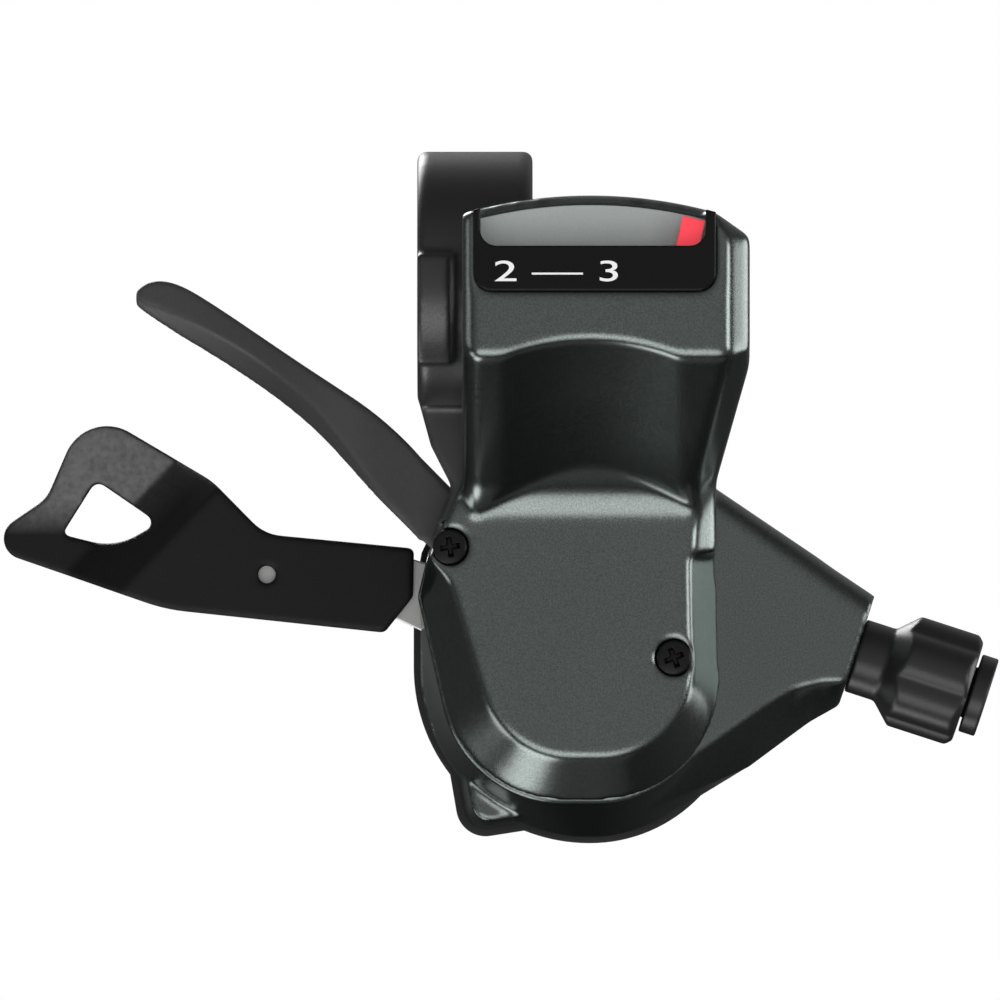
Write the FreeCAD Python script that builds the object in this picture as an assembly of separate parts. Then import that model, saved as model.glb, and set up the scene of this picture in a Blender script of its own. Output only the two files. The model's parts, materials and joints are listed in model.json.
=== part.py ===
import FreeCAD
import Part
import math
import os

Vector = FreeCAD.Vector

# A trigger shifter for a flat handlebar. Millimetres, +Z up, -Y towards the rider.
# The origin is the centre of the bar clamp and X runs along the bar.

# Bar clamp
bar_d = 22.2
clamp_width = 12.8
clamp_wall = 3.0
clamp_slit = 2.0
clamp_chamfer = 0.6
rib_height = 0.9
rib_width = 3.8
rib_top = 2.7
rib_bottom = -9.5
ear_height = 4.5
ear_reach = 7.9
ear_corner = 1.5
clamp_bolt_d = 5.0
clamp_bolt_head_d = 8.5
clamp_bolt_head_h = 4.0
clamp_bolt_key = 4.0
clamp_nut_h = 4.0
clamp_nut_flats = 8.0
foot_t = 4.0
foot_top = 1.0
foot_left = 4.9
foot_right = 5.0
foot_places = [(-7.8, 16.5), (-4.5, 9.4), (-9.4, 2.0), (-17.6, 14.0, 1.0), (-15.4, 19.7, 1.0)]
foot_bend = 24.2
base_t = 1.6
base_r = 11.4
screw_lobe_r = 1.95

# Main axle, from the centre of the bar, and the stack of pieces on it
axle_x = 12.8
axle_z = -42.8
axle_d = 6.0
axle_head_d = 9.0
axle_head_t = 1.6
washer_d = 10.0
washer_t = 0.3
rear_washer_t = 0.5
nut_flats = 9.0
nut_t = 2.0
hub_d = 11.0
arm_hub_d = 14.6
release_t = 1.6
arm_t = 0.7
index_d = 19.0
index_t = 1.2
drum_d = 24.0
drum_t = 4.8
groove_d = 19.0
groove_w = 2.2
ratchet_t = 1.2
lever_t = 1.6
rivet_d = 2.0
rivet_r = 5.4
rivet_count = 3
rivet_start = 30.0

# Clearances
running_fit = 0.05
thread_fit = 0.02
screw_fit = 0.2
side_gap = 0.3
slot_gap = 0.4
lid_gap = 0.7
seat_gap = 0.05

# Painted cover, places taken from the axle
parting_y = 5.0
face_y = -1.5
head_y = -26.5
head_depth = 9.9
cover_wall = 1.6
neck_tilt = 33.0
neck_gap = 1.9
neck_depth = 5.74
neck_bend_r = 7.4
head_edge_r = 1.5
head_top_r = 51.9
neck_left = 14.24
neck_right = 14.0
neck_low = 12.2
head_right = 17.6
head_corner = 13.6
head_corner_drop = 1.8
head_side_drop = 4.6
head_side_low = 33.2
left_bevel = 1.3
right_bevel = 2.5
inner_bevel = 0.4
scoop_depth = 1.6
scoop_width = 19.5
body_top = 20.2
body_right_top = 13.8
body_right = 15.1
body_left = 13.8
body_drop = 15.4
body_corner = 13.6
shoulder_x = 19.2
shoulder_z = 7.4
step_x = 18.1
step_z = 12.1
face_right_top = 10.8
face_right = 11.4
face_left = 9.5
face_drop = 10.4
face_corner = 10.0
face_shoulder_x = 15.4
face_shoulder_z = 9.2
face_step_x = 18.0
face_step_z = 11.7
small_corner = 1.0
cover_boss_r = 2.6
cover_screw_places = [(-15.6, 13.0), (9.3, 0.7)]
screw_d = 2.2
screw_head_d = 3.8
screw_head_t = 1.3
screw_seat = 1.2

# Rear housing and its lid
housing_wall = 1.8
housing_r = 18.9
housing_drop = 19.4
housing_flare = 11.0
housing_lean = 0.9
deck_inner_r = 6.95
deck_start = 190
deck_end = 360
housing_screw_r = 8.5
housing_screw_angles = [205, 255, 310]
lid_t = 1.6
lid_rim = 0.7
tab_depth = 7.3
tab_front = [(-14.3, -10.1), (-12.75, -17.75, 2.0), (-4.5, -16.6), (-8.0, -9.0)]
tab_back = [(-15.3, -10.0), (-13.75, -19.0, 2.6), (-4.5, -17.55), (-8.0, -9.0)]
lid_boss_r = 2.4
lid_boss_depth = 9.0
lid_boss_places = [(-9.6, 16.6), (10.6, 16.6), (-11.4, -15.8)]

# Cable nozzle and barrel adjuster. A station is a place along the cable, then how far the top,
# the bottom and the lower edge of the flat front lie from the cable's line.
cable_tilt = 18.0
cable_r = 10.0
nozzle_reach = 27.8
nozzle_up = 6.9
nozzle_down = 5.9
nozzle_flat_down = 3.1
nozzle_depth = 13.0
nozzle_shoulder = 5.5
nozzle_round = 3.0
nozzle_root_x = 7.0
nozzle_root_top = 24.2
nozzle_root_low = 18.2
nozzle_root_shoulder = 16.0
nozzle_root_flat = 13.6
cable_hole_d = 2.4
nozzle_stations = [(20.3, 9.1, 15.6, 8.0), (22.5, 8.4, 12.5, 5.5), (25.3, 7.6, 8.6, 3.9)]
guide_length = 10.0
bolt_d = 5.8
bolt_inside = 8.0
bolt_lip_d = 9.0
bolt_lip_t = 1.9
casing_d = 5.1
casing_depth = 6.0
knob_length = 13.2
knob_collar_d = 8.4
knob_collar = 3.5
knob_cone = 2.4
knob_d = 13.0
knob_edge = 0.8
knob_lobes = 6
lobe_start = 7.0
lobe_r = 3.4
lobe_offset = 3.0

# Display in the head of the cover
bezel_left = 13.0
bezel_right = 13.9
bezel_drop = 10.65
bezel_corner = 2.0
bezel_t = 0.8
ledge = 1.0
window_left = 12.2
window_right = 12.7
window_drop = 5.6
window_corner = 1.8
lens_flange_t = 0.7
lens_lip = 6.5
lens_t = 0.8
dial_drop = 10.1
dial_t = 0.8
dial_gap = 1.0
dial_post_d = 2.4
dial_post_x = 8.5
dial_post_drop = 7.4
back_cover_t = 0.8

# Indicator arm and needle
arm_w = 2.4
arm_tip_drop = 1.3
arm_back = 4.1
arm_slot_half = 9.4
needle_w = 2.5
needle_t = 0.3
needle_drop = 9.4
needle_gap = 0.35

# Main lever, places taken from the axle
main_slot_start = 145.5
main_slot_end = 203.0
blade_hub_d = 13.0
blade_root = 3.4
blade_flare = 2.0
blade_skew = 1.5
blade_neck_x = 20.0
blade_neck_z = 8.3
blade_end_x = 38.0
blade_end_z = 9.6
blade_end_half = 2.6
pad_front = 1.8
pad_back = 1.4
pad_hole_d = 2.0
pad_hole_x = -36.0
pad_hole_z = 9.9
pad_bend_lean = 0.961
pad_bend_start = -60.0
pad_bend_run = 8.0
pad_bend_shift = 1.5
pad_bend_depth = 5.6
pad_loop_run = 26.0
pad_loop_depth = 7.2
pad_reach_up = 36.0
pad_outline = [
    (-19.6, 12.8, 0.6), (-36.3, 14.4, 5.0), (-42.1, 20.3, 8.0), (-56.2, 28.6, 5.0), (-60.6, 18.4, 4.0),
    (-68.2, 13.2, 2.4), (-47.3, 6.0, 20.0), (-22.9, 3.4, 0.6), (-19.7, 7.4, 0.8),
]
pad_window = [(-55.1, 20.4, 1.0), (-58.9, 14.35, 0.5), (-53.0, 12.9, 7.0), (-48.1, 15.6, 0.9)]

# Release lever: place along X, then top, crease and lower edge, all from the axle,
# and how far the face and the folded lower edge lie behind the hub
release_slot_start = 105.0
release_slot_end = 147.0
release_rest = 135.0
release_root = 2.7
release_cam_r = 9.6
release_cam_start = 26.0
release_cam_end = 42.0
release_blade_t = 2.2
release_edge_t = 0.9
release_stations = [
    (-18.9, 23.0, 14.7, 13.5, 0.0, 0.3),
    (-23.2, 27.2, 19.3, 17.9, 1.5, 0.5),
    (-28.1, 30.7, 25.2, 23.3, 4.6, 1.8),
    (-31.3, 32.8, 29.0, 26.5, 6.7, 2.6),
    (-36.2, 36.1, 33.3, 30.4, 9.3, 2.8),
    (-42.8, 40.5, 37.4, 34.7, 11.5, 2.4),
    (-48.4, 42.6, 39.8, 38.2, 12.4, 1.4),
    (-50.6, 41.4, 40.5, 39.8, 12.6, 0.6),
]

# Pawls and springs
pawl_t = 1.0
pawl_pin_d = 2.0
pawl_eye_r = 1.8
pawl_half = 1.3
pawl_tip = 3.0
pawl_hook = 1.9
pawl_heel = 6.0
stop_pivot_r = 11.6
stop_pivot_angle = -12.0
stop_nose_r = 9.85
stop_nose_angle = 20.0
stop_notch = [(9.0, 27.0), (10.0, 24.5)]
stop_step = 24.0
stop_notch_r = 7.3
feed_pivot_r = 13.6
feed_pivot_angle = 228.0
feed_nose_r = 9.9
feed_nose_angle = 262.0
feed_notch_rim = 234.0
feed_notch_start = 250.0
feed_notch_end = 271.4
feed_notch_r = 7.4
feed_tooth = 10.0
wire_t = 0.7
main_spring_r = 7.4
main_spring_start = 20
main_spring_end = 190
release_spring_r = 6.6
release_spring_start = 164
release_spring_end = 330

# Levels along Y that follow from the stack
base_y = parting_y - base_t
release_y = parting_y + washer_t
deck_y = release_y + release_t
arm_y = release_y + release_t + side_gap
index_y = arm_y + arm_t
drum_y = index_y + index_t
cable_y = drum_y + drum_t / 2
ratchet_y = drum_y + drum_t
lever_y = ratchet_y + ratchet_t + washer_t
rear_washer_y = lever_y + lever_t
nut_y = rear_washer_y + rear_washer_t
axle_end_y = nut_y + nut_t
lid_y = axle_end_y + lid_gap
flare_y = parting_y + housing_flare
head_back_y = head_y + head_depth
flange_y = head_y + bezel_t
flange_back_y = flange_y + lens_flange_t
clamp_r = bar_d / 2 + clamp_wall
far = 100.0

# Heights of the head that follow from its round top, and the angle of the indicator arm,
# whose needle rests at the right edge of the window
head_corner_z = head_top_r - head_corner_drop
head_side_top = head_top_r - head_side_drop
bezel_low = head_top_r - bezel_drop
window_low = head_top_r - window_drop
dial_low = head_top_r - dial_drop
dial_post_z = head_top_r - dial_post_drop
needle_low_r = head_top_r - needle_drop
arm_tip_r = head_top_r - arm_tip_drop
arm_lean = math.degrees(math.asin((window_right - needle_w / 2) / arm_tip_r))


def from_axle(places):
    """Corners given from the axle, as corners in the part's frame."""
    return [(axle_x + place[0], axle_z + place[1]) + tuple(place[2:]) for place in places]


def polar(radius, degrees):
    """A place at a radius and an angle about the axle, counter-clockwise as the rider sees it."""
    angle = math.radians(degrees)
    return (axle_x + radius * math.cos(angle), axle_z + radius * math.sin(angle))


def side_share(radius):
    """How much of a side one corner may take, when the next corner has a radius."""
    return 0.499 if radius else 0.999


def rounded_wire(points, radii):
    """Closed wire through points, each corner rounded by its radius."""
    count = len(points)
    runs = []
    for i in range(count):
        corner = points[i]
        before = points[i - 1] - corner
        after = points[(i + 1) % count] - corner
        if radii[i] == 0:
            runs.append((corner, None, corner))
            continue
        next_radius = radii[(i + 1) % count]
        longest = min(before.Length * side_share(radii[i - 1]), after.Length * side_share(next_radius))
        half = before.getAngle(after) / 2
        before.normalize()
        after.normalize()
        reach = min(radii[i] / math.tan(half), longest)
        radius = reach * math.tan(half)
        inward = (before + after).normalize()
        middle = corner + inward * (radius / math.sin(half) - radius)
        runs.append((corner + before * reach, middle, corner + after * reach))
    edges = []
    for i in range(count):
        start, middle, end = runs[i]
        if middle:
            edges.append(Part.Arc(start, middle, end).toShape())
        edges.append(Part.makeLine(end, runs[(i + 1) % count][0]))
    return Part.Wire(edges)


def radius_of(corner):
    return corner[2] if len(corner) > 2 else 0


def front_wire(corners, y):
    """Outline in the plane that the rider faces, at depth y."""
    points = [Vector(corner[0], y, corner[1]) for corner in corners]
    return rounded_wire(points, [radius_of(corner) for corner in corners])


def side_wire(corners, x):
    """Outline of (y, z) corners in the plane across the bar, at place x."""
    points = [Vector(x, corner[0], corner[1]) for corner in corners]
    return rounded_wire(points, [radius_of(corner) for corner in corners])


def slab(corners, y_start, y_end):
    """Outline carried along Y."""
    return Part.Face(front_wire(corners, y_start)).extrude(Vector(0, y_end - y_start, 0))


def bar_along_x(corners, x_start, x_end):
    """Outline of (y, z) corners carried along X."""
    return Part.Face(side_wire(corners, x_start)).extrude(Vector(x_end - x_start, 0, 0))


def box(x_start, x_end, y_start, y_end, z_start, z_end):
    size = (x_end - x_start, y_end - y_start, z_end - z_start)
    return Part.makeBox(*size, Vector(x_start, y_start, z_start))


def disc(radius, y_start, y_end, centre=None):
    """Round solid along Y about the axle or another centre."""
    x, z = centre or (axle_x, axle_z)
    return Part.makeCylinder(radius, y_end - y_start, Vector(x, y_start, z), Vector(0, 1, 0))


def ring(radius, hole, y_start, y_end, centre=None):
    return disc(radius, y_start, y_end, centre).cut(disc(hole, y_start, y_end, centre))


def sector(radius, start, end, y_start, y_end):
    """Wedge about the axle between two angles, reaching at least to radius."""
    count = max(2, math.ceil((end - start) / 40))
    step = (end - start) / count
    reach = radius / math.cos(math.radians(step / 2))
    rim = [polar(reach, start + i * step) for i in range(count + 1)]
    return slab([(axle_x, axle_z)] + rim, y_start, y_end)


def hexagon_corners(flats, centre):
    """Six corners about a centre, with a size across the flats."""
    reach = flats / 2 / math.cos(math.radians(30))
    angles = [math.radians(60 * i) for i in range(6)]
    return [(centre[0] + reach * math.cos(a), centre[1] + reach * math.sin(a)) for a in angles]


def upright_hexagon(flats, y, z_start, z_end):
    """Hexagon standing along Z above the middle of the bar clamp."""
    points = [Vector(corner[0], corner[1], z_start) for corner in hexagon_corners(flats, (0, y))]
    outline = Part.makePolygon(points + points[:1])
    return Part.Face(outline).extrude(Vector(0, 0, z_end - z_start))


def inset(corners, distance):
    """Outline with every side moved inwards by a distance."""
    count = len(corners)
    following = [corners[(i + 1) % count] for i in range(count)]
    area = sum(a[0] * b[1] - b[0] * a[1] for a, b in zip(corners, following))
    turn = 1 if area > 0 else -1
    moved = []
    for i in range(count):
        before, corner, after = corners[i - 1], corners[i], following[i]
        first = Vector(corner[0] - before[0], corner[1] - before[1], 0).normalize()
        second = Vector(after[0] - corner[0], after[1] - corner[1], 0).normalize()
        across = Vector(-first.y - second.y, first.x + second.x, 0) * turn
        shift = across * (distance / (1 + first.dot(second)))
        convex = first.cross(second).z * turn > 0
        radius = radius_of(corner)
        if radius:
            radius = max(radius - distance if convex else radius + distance, 0.1)
        moved.append((corner[0] + shift.x, corner[1] + shift.y, radius))
    return moved


def joined(shapes):
    return shapes[0].multiFuse(shapes[1:]).removeSplitter()


def slope_z(offset, y):
    """Height at depth y on a plane that lies along the neck, at an offset from the bar's centre."""
    tilt = math.radians(neck_tilt)
    return -(offset + y * math.sin(tilt)) / math.cos(tilt)


def slope_y(offset, z):
    """Depth at height z on such a plane."""
    tilt = math.radians(neck_tilt)
    return -(offset + z * math.cos(tilt)) / math.sin(tilt)


neck_back = clamp_r + neck_gap
neck_front = neck_back + neck_depth
arm_line = neck_front - arm_back


def parting_outline():
    return from_axle([
        (body_right_top, body_top), (body_right, -body_drop, body_corner),
        (-body_left, -body_drop, body_corner), (-shoulder_x, shoulder_z),
        (-step_x, step_z), (-neck_left, body_top),
    ])


def face_outline():
    return from_axle([
        (face_right_top, body_top), (face_right, -face_drop, face_corner),
        (-face_left, -face_drop, face_corner), (-face_shoulder_x, face_shoulder_z),
        (-face_step_x, face_step_z), (-neck_left, body_top),
    ])


def housing_outline():
    return from_axle([
        (body_right_top - housing_lean, body_top), (housing_r, -housing_drop, housing_r),
        (-housing_r - seat_gap, -housing_drop, housing_r), (-housing_r - seat_gap, shoulder_z),
        (-step_x, step_z), (-neck_left, body_top),
    ])


def head_outline():
    """Front view of the head and neck; the round top is cut by a cylinder about the axle."""
    lean = (head_right - head_corner) / (head_corner_z - head_side_top)
    top_corner = head_corner - lean * (head_top_r - head_corner_z)
    return from_axle([
        (-neck_left, neck_low), (-neck_left, head_top_r), (top_corner, head_top_r),
        (head_right, head_side_top), (head_right, head_side_low),
        (neck_right, body_top), (neck_right, neck_low),
    ])


def front_profile(depth):
    """Side view of the cover's front, moved in by a depth: face, neck bend, slope, head."""
    low = axle_z + neck_low
    slope = neck_front - depth
    return [
        (face_y + depth, low),
        (face_y + depth, slope_z(slope, face_y + depth), neck_bend_r + depth),
        (head_y + depth, slope_z(slope, head_y + depth), head_edge_r),
        (head_y + depth, axle_z + head_top_r),
    ]


def beyond(first, second, third, inside):
    """Everything on the far side of the plane through three points."""
    normal = (second - first).cross(third - first).normalize()
    if normal.dot(inside - first) > 0:
        normal = normal * -1
    return Part.makeCylinder(2 * far, far, first, normal)


def bevelled(block, outline, depth, bevel):
    """Block with its right side bevelled against the head's front and the neck's slope."""
    front = head_y + depth
    slope = neck_front - depth
    inside = Vector(axle_x, head_back_y, outline[4][1])
    corners = [Vector(corner[0], front, corner[1]) for corner in outline]
    across = Vector(-bevel, 0, 0)
    inward = Vector(0, bevel, 0)
    block = block.cut(beyond(corners[2], corners[3] + across, corners[3] + inward, inside))
    for upper, lower in [(3, 4), (4, 5)]:
        edge = [corners[upper] + across, corners[lower] + across]
        block = block.cut(beyond(edge[0], edge[1], corners[lower] + inward, inside))
    knee_x, knee_z = outline[5][:2]
    side_x, side_z = outline[4][:2]
    knee = Vector(knee_x - bevel, slope_y(slope, knee_z), knee_z)
    side = Vector(side_x - bevel, slope_y(slope, side_z), side_z)
    behind = Vector(knee_x, slope_y(slope - bevel, knee_z), knee_z)
    return block.cut(beyond(knee, side, behind, inside))


def scoop(depth):
    """Shallow trough down the middle of the neck, as a solid to cut away."""
    tilt = math.radians(neck_tilt)
    half = scoop_width / 2
    radius = (half * half + scoop_depth * scoop_depth) / (2 * scoop_depth) + depth
    outward = Vector(0, -math.sin(tilt), -math.cos(tilt))
    along = Vector(0, -math.cos(tilt), math.sin(tilt))
    centre = Vector(axle_x, 0, 0) + outward * (neck_front - scoop_depth - depth + radius)
    trough = Part.makeCylinder(radius, 2 * far, centre - along * far, along)
    deep = front_profile(depth + scoop_depth)
    deep[0] = (face_y + depth, deep[0][1])
    deep[1] = (face_y + depth, slope_z(neck_front - depth - scoop_depth, face_y + depth), deep[1][2])
    deep[2] = (head_y + depth, slope_z(neck_front - depth - scoop_depth, head_y + depth))
    region = deep[:3] + [(head_y - far, deep[2][1]), (head_y - far, deep[0][1])]
    return trough.common(bar_along_x(region, axle_x - neck_left, axle_x + head_right))


def cover_profile(depth, bevel):
    """Closed side view of the cover's head and neck, its front moved in by the bevel."""
    low = axle_z + neck_low
    back = parting_y + depth
    behind = head_back_y + 2 * depth
    line = neck_back - 2 * depth
    return front_profile(depth + bevel) + [
        (behind, axle_z + head_top_r), (behind, slope_z(line, behind)),
        (back, slope_z(line, back)), (back, low),
    ]


def cover_form(depth):
    """Outer form of the cover, or the hollow inside it when depth is the wall."""
    share = inner_bevel if depth else 1
    left_cut = left_bevel * share
    right_cut = right_bevel * share
    outline = inset(head_outline(), depth)
    left = axle_x - neck_left + depth
    knee_x, knee_z = outline[5][:2]
    plain = side_wire(cover_profile(depth, 0), left + left_cut)
    left_edge = Part.makeLoft([side_wire(cover_profile(depth, left_cut), left), plain], True, True)
    core = bar_along_x(cover_profile(depth, 0), left + left_cut, axle_x + far)
    above = core.common(slab(outline, head_y - 1, parting_y + depth))
    above = above.common(box(-far, far, -far, far, knee_z, far))
    above = bevelled(above, outline, depth, right_cut)
    below = bar_along_x(cover_profile(depth, 0), left + left_cut, knee_x - right_cut)
    right_edge = Part.makeLoft([
        side_wire(cover_profile(depth, 0), knee_x - right_cut),
        side_wire(cover_profile(depth, right_cut), knee_x),
    ], True, True)
    below = below.fuse(right_edge).common(box(-far, far, -far, far, -far, knee_z))
    upper = joined([left_edge, above, below])
    upper = upper.common(disc(head_top_r - depth, head_y - 1, parting_y + depth))
    upper = upper.cut(scoop(depth))
    lower = Part.makeLoft([
        front_wire(inset(parting_outline(), depth), parting_y),
        front_wire(inset(face_outline(), depth), face_y + depth),
    ], True, True)
    return upper.fuse(lower).removeSplitter()


def bezel_outline(gap):
    top = head_top_r + 1
    return from_axle([
        (-bezel_left + gap, bezel_low + gap, bezel_corner), (-bezel_left + gap, top),
        (bezel_right - gap, top), (bezel_right - gap, bezel_low + gap, bezel_corner),
    ])


def window_outline(grow):
    top = head_top_r + 1
    return from_axle([
        (-window_left - grow, window_low - grow, window_corner), (-window_left - grow, top),
        (window_right + grow, top), (window_right + grow, window_low - grow, window_corner),
    ])


def foot_corners():
    """Front view of the clamp's foot, from the ring down to the base plate."""
    half = clamp_width / 2
    top = [(-half, foot_top - clamp_r), (-half, -bar_d / 2), (foot_right, -bar_d / 2)]
    return top + from_axle(foot_places) + [(-foot_left, axle_z + foot_bend, small_corner)]


def clamp_bracket():
    half = clamp_width / 2
    along_x = Vector(1, 0, 0)
    clamp = Part.makeCylinder(clamp_r, clamp_width, Vector(-half, 0, 0), along_x)
    clamp = clamp.makeChamfer(clamp_chamfer, [edge for edge in clamp.Edges if edge.isClosed()])
    rib = Part.makeCylinder(clamp_r + rib_height, rib_width, Vector(-half, 0, 0), along_x)
    rib = rib.common(box(-half, half, -far, 0, rib_bottom, rib_top))
    ear_back = clamp_r + ear_reach
    ear_half = ear_height + clamp_slit / 2
    ears = bar_along_x([
        (bar_d / 2, -ear_half), (ear_back, -ear_half, ear_corner),
        (ear_back, ear_half, ear_corner), (bar_d / 2, ear_half),
    ], -half, half)
    foot = slab(foot_corners(), parting_y - foot_t, parting_y)
    foot = foot.cut(disc(base_r, parting_y - foot_t, base_y))
    base = disc(base_r, base_y, parting_y)
    lobe = from_axle(cover_screw_places[:1])[0]
    lug = disc(screw_lobe_r, base_y, parting_y, lobe)
    casting = joined([clamp, rib, ears, foot, base, lug])
    casting = casting.cut(Part.makeCylinder(bar_d / 2, 2 * far, Vector(-far, 0, 0), along_x))
    casting = casting.cut(box(-far, far, 0, far, -clamp_slit / 2, clamp_slit / 2))
    bolt_hole = clamp_bolt_d / 2 + screw_fit
    casting = casting.cut(Part.makeCylinder(bolt_hole, 2 * far, Vector(0, clamp_bolt_y(), -far)))
    casting = casting.cut(disc(axle_d / 2 + running_fit, base_y, parting_y))
    for place in from_axle(cover_screw_places):
        casting = casting.cut(disc(screw_d / 2 + thread_fit, parting_y - foot_t, parting_y, place))
        casting = casting.cut(disc(cover_boss_r + screw_fit, parting_y - foot_t, base_y, place))
    for angle in housing_screw_angles:
        place = polar(housing_screw_r, angle)
        casting = casting.cut(disc(screw_d / 2 + screw_fit, base_y, parting_y, place))
    return casting


def clamp_bolt_y():
    return clamp_r + ear_reach / 2


def clamp_bolt():
    ear_half = ear_height + clamp_slit / 2
    bottom = -ear_half - clamp_bolt_head_h
    seat = Vector(0, clamp_bolt_y(), bottom)
    head = Part.makeCylinder(clamp_bolt_head_d / 2, clamp_bolt_head_h, seat)
    shank = Part.makeCylinder(clamp_bolt_d / 2, ear_half + clamp_nut_h - bottom, seat)
    key = upright_hexagon(clamp_bolt_key, clamp_bolt_y(), bottom, bottom + clamp_bolt_head_h / 2)
    return head.fuse(shank).removeSplitter().cut(key)


def clamp_nut():
    ear_half = ear_height + clamp_slit / 2
    nut = upright_hexagon(clamp_nut_flats, clamp_bolt_y(), ear_half, ear_half + clamp_nut_h)
    hole = clamp_bolt_d / 2 + thread_fit
    return nut.cut(Part.makeCylinder(hole, clamp_nut_h, Vector(0, clamp_bolt_y(), ear_half)))


def cover_screw_seat():
    return face_y + screw_seat


def top_cover():
    outer = cover_form(0)
    cover = outer.cut(cover_form(cover_wall))
    notch = slab(inset(foot_corners(), -slot_gap), parting_y - foot_t - slot_gap, parting_y + 1)
    cover = cover.cut(notch)
    lobe = from_axle(cover_screw_places[:1])[0]
    cover = cover.cut(disc(screw_lobe_r + side_gap, base_y, parting_y + 1, lobe))
    bosses = [disc(cover_boss_r, face_y, base_y, place) for place in from_axle(cover_screw_places)]
    cover = joined([cover] + [boss.common(outer) for boss in bosses])
    for place in from_axle(cover_screw_places):
        cover = cover.cut(disc(screw_head_d / 2 + seat_gap, head_y, cover_screw_seat(), place))
        cover = cover.cut(disc(screw_d / 2 + screw_fit, face_y, parting_y, place))
    opening_y = head_y + cover_wall + 1
    cover = cover.cut(slab(bezel_outline(0), head_y - 1, head_y + bezel_t))
    cover = cover.cut(slab(bezel_outline(ledge), head_y - 1, opening_y))
    lip = slab(window_outline(seat_gap), head_y - 1, head_y + lens_lip + seat_gap)
    cover = cover.cut(lip.cut(disc(head_top_r - lens_t - seat_gap, head_y - 1, head_y + far)))
    light = slab(window_outline(side_gap), flange_back_y, head_y + lens_lip - ledge)
    return cover.cut(light.cut(disc(head_top_r - 2 * cover_wall, head_y - 1, head_y + far)))


def display_bezel():
    plate = slab(bezel_outline(seat_gap), head_y, head_y + bezel_t)
    plate = plate.common(disc(head_top_r, head_y, head_y + bezel_t))
    return plate.cut(slab(window_outline(0), head_y - 1, head_y + bezel_t))


def display_lens():
    front = slab(window_outline(-seat_gap), head_y, flange_y)
    front = front.common(disc(head_top_r, head_y, flange_y))
    flange = slab(bezel_outline(ledge + seat_gap), flange_y, flange_back_y)
    flange = flange.common(disc(head_top_r - lens_t / 2, flange_y, flange_back_y))
    lip = slab(window_outline(0), head_y, head_y + lens_lip)
    lip = lip.common(ring(head_top_r, head_top_r - lens_t, head_y, head_y + lens_lip))
    flange = flange.cut(slab(bezel_outline(0), flange_y, flange_y + far).cut(
        slab(window_outline(ledge), flange_y, flange_y + far)).cut(
        disc(head_top_r - cover_wall - seat_gap, flange_y, flange_y + far)))
    return joined([front, flange, lip])


def needle_y():
    return flange_back_y + needle_gap


def dial_y():
    return needle_y() + needle_t + arm_t + dial_gap


def dial_plate():
    corners = from_axle([
        (-window_left, dial_low, small_corner), (-window_left, head_top_r),
        (window_right, head_top_r), (window_right, dial_low, small_corner),
    ])
    plate = slab(corners, dial_y(), dial_y() + dial_t)
    return plate.common(disc(head_top_r - lens_t - side_gap, dial_y(), dial_y() + dial_t))


def display_back_cover():
    """Lid behind the head and the neck, bent like them, with posts for the dial."""
    inner = neck_back + back_cover_t
    plate_y = head_back_y - back_cover_t
    bottom = parting_y - seat_gap
    profile = [
        (head_back_y, axle_z + head_top_r), (head_back_y, slope_z(neck_back, head_back_y)),
        (bottom, slope_z(neck_back, bottom)), (bottom, slope_z(inner, bottom)),
        (plate_y, slope_z(inner, plate_y)), (plate_y, axle_z + head_top_r),
    ]
    corners = inset(head_outline(), cover_wall + seat_gap)
    lid = bar_along_x(profile, -far, far).common(slab(corners, head_y, parting_y))
    lid = lid.common(disc(head_top_r - cover_wall - seat_gap, head_y, parting_y))
    lid = lid.cut(slab(inset(foot_corners(), -slot_gap), parting_y - foot_t - slot_gap, parting_y))
    posts = []
    for place in from_axle([(-dial_post_x, dial_post_z), (dial_post_x, dial_post_z)]):
        posts.append(disc(dial_post_d / 2, dial_y() + dial_t, head_back_y, place))
    return joined([lid] + posts)


def cover_screws():
    screws = []
    for place in from_axle(cover_screw_places):
        head = disc(screw_head_d / 2, cover_screw_seat() - screw_head_t, cover_screw_seat(), place)
        shank = disc(screw_d / 2, cover_screw_seat() - screw_head_t / 2, parting_y, place)
        screws.append(head.fuse(shank).removeSplitter())
    return Part.makeCompound(screws)


def housing_screws():
    screws = []
    for angle in housing_screw_angles:
        place = polar(housing_screw_r, angle)
        head = disc(screw_head_d / 2, base_y - screw_head_t, base_y, place)
        shank = disc(screw_d / 2, base_y - screw_head_t / 2, deck_y, place)
        screws.append(head.fuse(shank).removeSplitter())
    return Part.makeCompound(screws)


def lid_screw_places():
    return from_axle(lid_boss_places)


def rear_cover_screws():
    screws = []
    outside = lid_y + lid_t
    for place in lid_screw_places():
        head = disc(screw_head_d / 2, outside, outside + screw_head_t, place)
        shank = disc(screw_d / 2, lid_y - lid_boss_depth / 2, outside + screw_head_t / 2, place)
        screws.append(head.fuse(shank).removeSplitter())
    return Part.makeCompound(screws)


def cable_direction():
    tilt = math.radians(cable_tilt)
    return Vector(math.cos(tilt), 0, -math.sin(tilt))


def cable_point(reach):
    """A point on the cable's line, reach beyond where it leaves the drum."""
    tilt = math.radians(cable_tilt)
    leave = Vector(axle_x + cable_r * math.sin(tilt), cable_y, axle_z + cable_r * math.cos(tilt))
    return leave + cable_direction() * reach


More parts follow.
